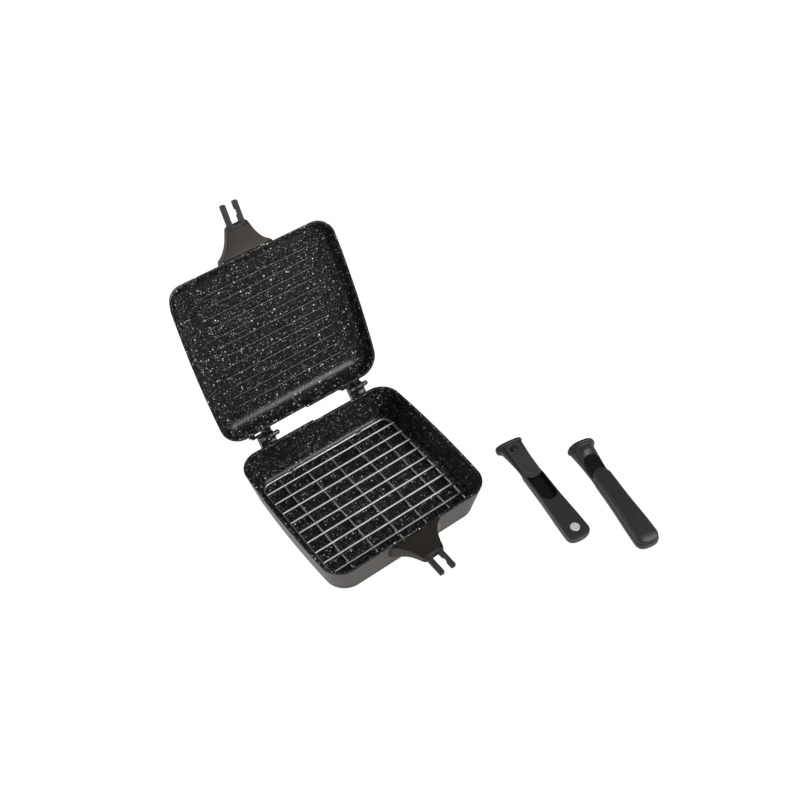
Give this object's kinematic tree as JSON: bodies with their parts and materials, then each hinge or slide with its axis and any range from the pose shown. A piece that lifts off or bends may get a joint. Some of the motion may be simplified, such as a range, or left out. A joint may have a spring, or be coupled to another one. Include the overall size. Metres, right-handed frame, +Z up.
{
  "type": "double sided flip pan",
  "caption": "Deep square pan and shallow ridged pan on a separable pin hinge, with a lift-out wire rack and detachable handles lying beside.",
  "frame": {"origin": "centre of the base pan's flat bottom, on the table", "axes": "+X along the hinge axis, towards the free ends of the hinge pins; +Y from the handle fork to the hinge; +Z up. The lid pan rests open on its stop and the two handles lie on the table"},
  "size_m": [0.3229, 0.4169, 0.2569],
  "materials": {
    "cast_shell": "die-cast aluminium, satin dark bronze outside; black non-stick coat with light specks inside",
    "fork_steel": "steel plate with a rough black coat",
    "screw_steel": "small blackened steel screws",
    "pin_steel": "steel pins, dark coat",
    "rack_wire": "bright nickel-plated wire",
    "grip_plastic": "dark grey phenolic, fine matte grain",
    "lever_plastic": "black plastic, smooth",
    "small_steel": "plain steel",
    "magnet": "bright plated magnet disc"
  },
  "bodies": {
    "base": {"base_pan": "cast_shell", "base_fork": "fork_steel", "base_fork_screws": "screw_steel"},
    "pins": {"hinge_pins": "pin_steel"},
    "lid": {"lid_pan": "cast_shell", "lid_fork": "fork_steel", "lid_fork_screws": "screw_steel"},
    "rack": {"rack_border": "rack_wire", "rack_long_wires": "rack_wire", "rack_cross_wires": "rack_wire"},
    "left_handle": {"left_handle_body": "grip_plastic", "left_handle_grip_cover": "grip_plastic", "left_handle_neck_cover": "grip_plastic", "left_handle_lever_pin": "small_steel", "left_handle_lever_spring": "small_steel", "left_handle_screw": "screw_steel", "left_handle_magnet": "magnet"},
    "left_lever": {"left_handle_release_lever": "lever_plastic"},
    "right_handle": {"right_handle_body": "grip_plastic", "right_handle_grip_cover": "grip_plastic", "right_handle_neck_cover": "grip_plastic", "right_handle_lever_pin": "small_steel", "right_handle_lever_spring": "small_steel", "right_handle_screw": "screw_steel", "right_handle_magnet": "magnet"},
    "right_lever": {"right_handle_release_lever": "lever_plastic"}
  },
  "joints": [
    {"name": "lid_hinge", "type": "hinge", "parent": "base", "child": "pins", "pos_m": [0, 0.0965, 0.0439], "axis": [-1, 0, 0], "range_deg": [-114.3, 0]},
    {"name": "lid_slide_off", "type": "slide", "parent": "pins", "child": "lid", "axis": [1, 0, 0], "range_m": [0, 0.0165]},
    {"name": "rack_lift", "type": "slide", "parent": "base", "child": "rack", "axis": [0, 0, 1], "range_m": [0, 0.06]},
    {"name": "left_handle_lift", "type": "slide", "parent": "base", "child": "left_handle", "axis": [0, 0, 1], "range_m": [0, 0.08]},
    {"name": "left_lever_press", "type": "hinge", "parent": "left_handle", "child": "left_lever", "pos_m": [0.14741, -0.08464, 0.01148], "axis": [0.9912, -0.1323, 0], "range_deg": [0, 4], "stiffness_Nm_per_rad": 0.4, "springref_deg": -4.58},
    {"name": "right_handle_lift", "type": "slide", "parent": "base", "child": "right_handle", "axis": [0, 0, 1], "range_m": [0, 0.08]},
    {"name": "right_lever_press", "type": "hinge", "parent": "right_handle", "child": "right_lever", "pos_m": [0.20388, -0.12952, 0.0051], "axis": [-0.9778, 0.2096, 0], "range_deg": [0, 4], "stiffness_Nm_per_rad": 0.4, "springref_deg": -4.58}
  ]
}
